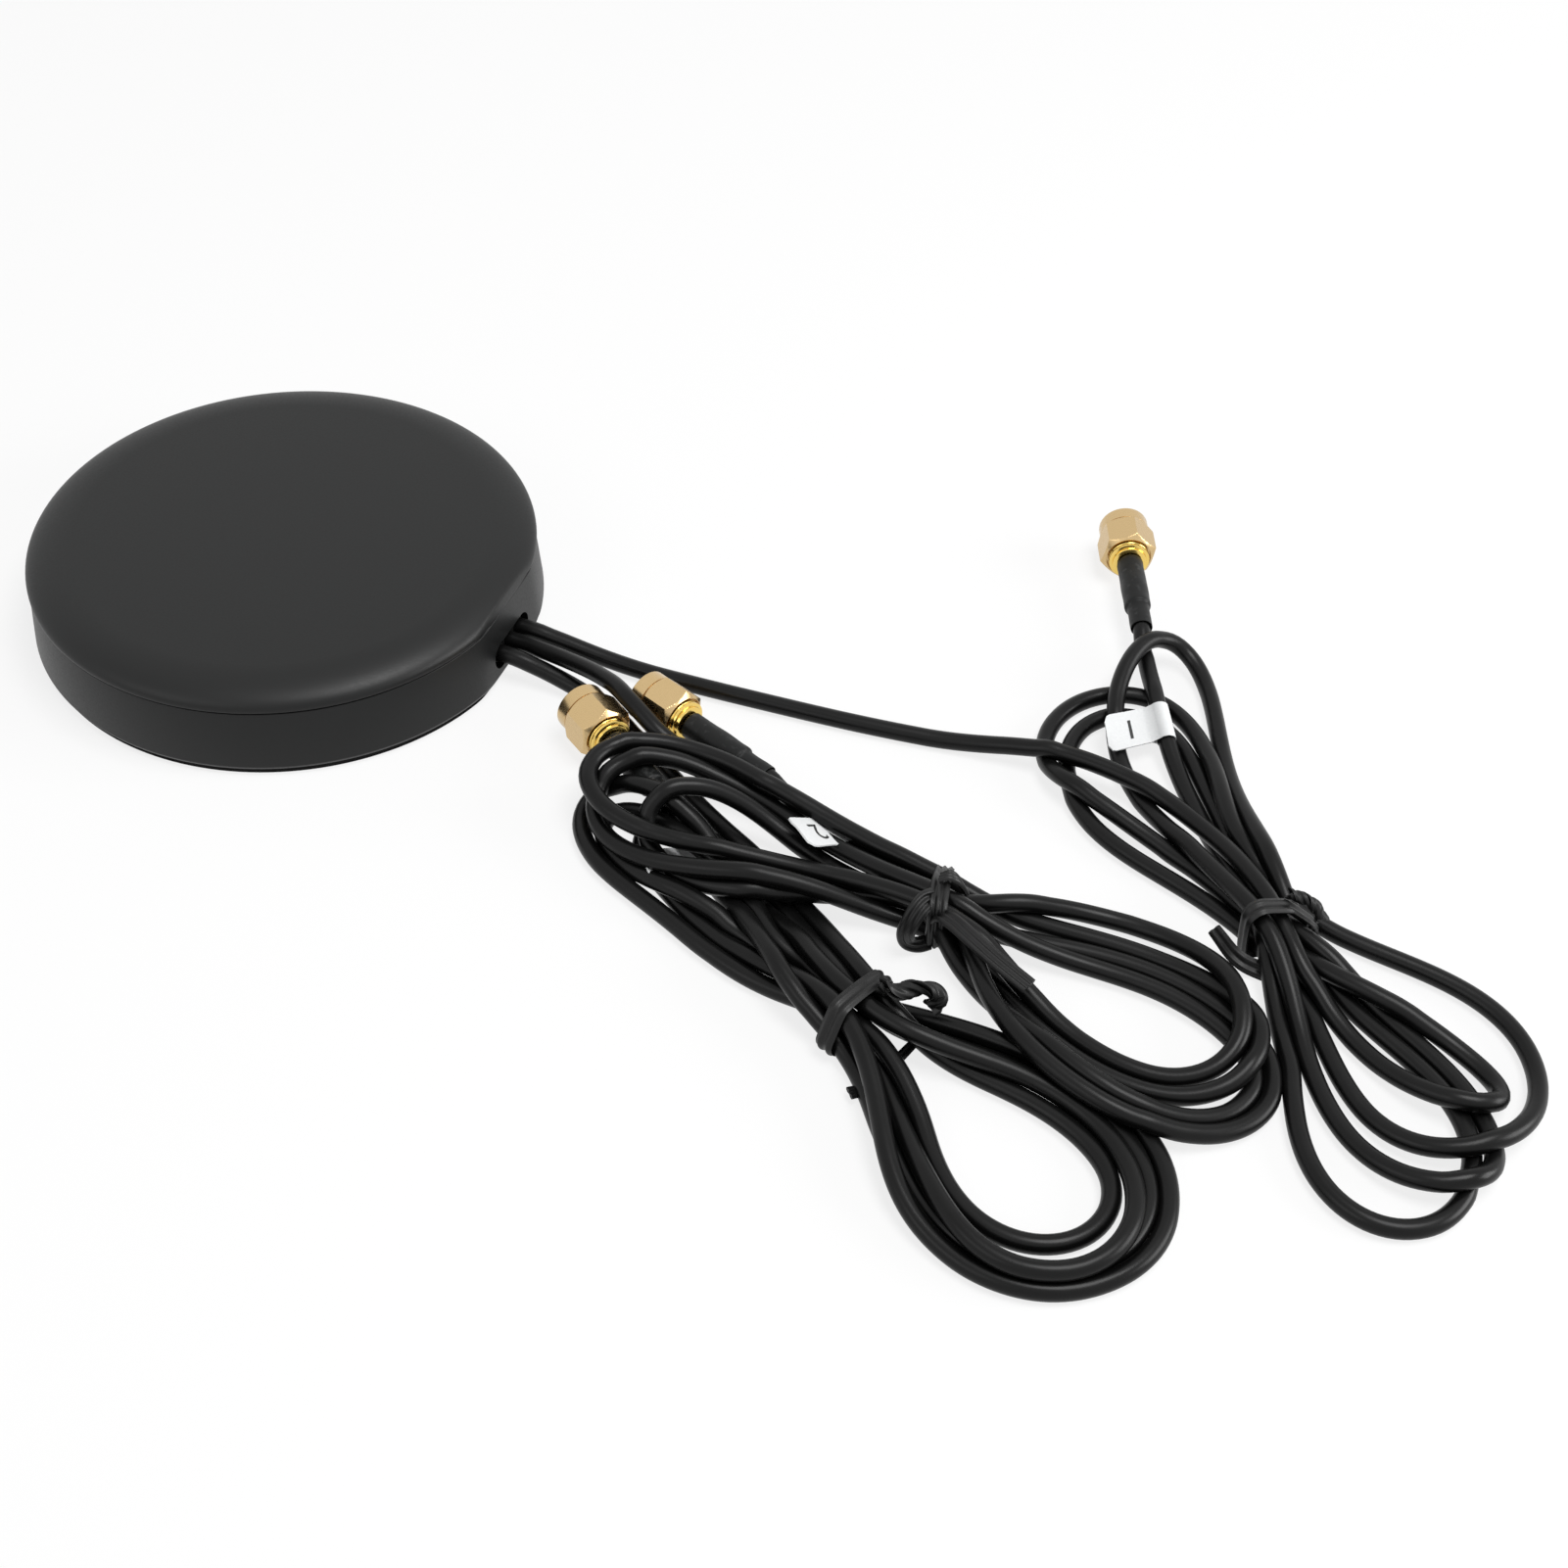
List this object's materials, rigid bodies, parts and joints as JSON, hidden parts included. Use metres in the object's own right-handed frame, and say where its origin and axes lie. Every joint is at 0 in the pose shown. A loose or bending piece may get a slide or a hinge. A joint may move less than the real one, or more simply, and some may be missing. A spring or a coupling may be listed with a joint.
{
  "type": "combination puck antenna with coaxial leads",
  "caption": "Round stick-on puck antenna with a flat side, from which coaxial leads run to tied hanks, each ending in a screw-on plug with a hexagon coupling nut.",
  "frame": {"origin": "middle of the puck on the underside of its adhesive pad, which is the surface that it is stuck to", "axes": "+Z out of the top of the puck, +X out of the flat side where the leads leave"},
  "size_m": [0.2419, 0.1496, 0.015],
  "materials": {
    "moulded_abs": "fine moulded texture",
    "foam_pad": "closed-cell foam with adhesive",
    "grommet_rubber": "matt",
    "green_laminate": "solder-masked board",
    "patch_ceramic": "fired ceramic",
    "silver_plate": "silver plated",
    "tinned_can": "tinned",
    "screw_steel": "dark plated",
    "gold_plate": "gold plated, bright",
    "white_ptfe": "waxy white",
    "red_silicone": "matt",
    "cable_pvc": "satin jacket",
    "heat_shrink": "satin, with a scuffed edge",
    "tie_pvc": "ribbed",
    "flag_paper": "plain white label stock"
  },
  "bodies": {
    "root": {"radome_cover": "moulded_abs", "base_plate": "moulded_abs", "lead_clamp": "moulded_abs", "adhesive_pad": "foam_pad", "lead_grommet": "grommet_rubber", "base_gasket": "grommet_rubber", "main_board": "green_laminate", "main_radiator": "green_laminate", "aux_radiator": "green_laminate", "ceramic_patch": "patch_ceramic", "patch_electrode": "silver_plate", "amplifier_shield": "tinned_can", "base_screw_1": "screw_steel", "base_screw_2": "screw_steel", "base_screw_3": "screw_steel", "base_screw_4": "screw_steel", "clamp_screw_1": "screw_steel", "clamp_screw_2": "screw_steel", "gps_snap_ring": "screw_steel", "main_snap_ring": "screw_steel", "aux_snap_ring": "screw_steel", "gps_plug_body": "gold_plate", "gps_centre_pin": "gold_plate", "main_plug_body": "gold_plate", "main_centre_pin": "gold_plate", "aux_plug_body": "gold_plate", "aux_centre_pin": "gold_plate", "gps_insulator": "white_ptfe", "main_insulator": "white_ptfe", "aux_insulator": "white_ptfe", "gps_sealing_washer": "red_silicone", "main_sealing_washer": "red_silicone", "aux_sealing_washer": "red_silicone", "gps_lead": "cable_pvc", "gps_hank": "cable_pvc", "gps_tail": "cable_pvc", "main_lead": "cable_pvc", "main_hank": "cable_pvc", "main_tail": "cable_pvc", "aux_lead": "cable_pvc", "aux_hank": "cable_pvc", "aux_tail": "cable_pvc", "gps_heat_shrink": "heat_shrink", "main_heat_shrink": "heat_shrink", "aux_heat_shrink": "heat_shrink", "gps_twist_tie": "tie_pvc", "main_twist_tie": "tie_pvc", "aux_twist_tie": "tie_pvc", "gps_flag": "flag_paper", "main_flag": "flag_paper", "aux_flag": "flag_paper"},
    "gps_nut": {"gps_coupling_nut": "gold_plate"},
    "main_nut": {"main_coupling_nut": "gold_plate"},
    "aux_nut": {"aux_coupling_nut": "gold_plate"}
  },
  "joints": [
    {"name": "gps_nut_spin", "type": "hinge", "parent": "root", "child": "gps_nut", "pos_m": [0.1213, 0.0586, 0.00485], "axis": [-0.3584, 0.9336, 0], "continuous": true},
    {"name": "main_nut_spin", "type": "hinge", "parent": "root", "child": "main_nut", "pos_m": [0.0664, -0.0059, 0.00485], "axis": [-0.9205, 0.3907, 0], "continuous": true},
    {"name": "aux_nut_spin", "type": "hinge", "parent": "root", "child": "aux_nut", "pos_m": [0.0578, -0.0126, 0.00485], "axis": [-0.8192, 0.5736, 0], "continuous": true}
  ]
}
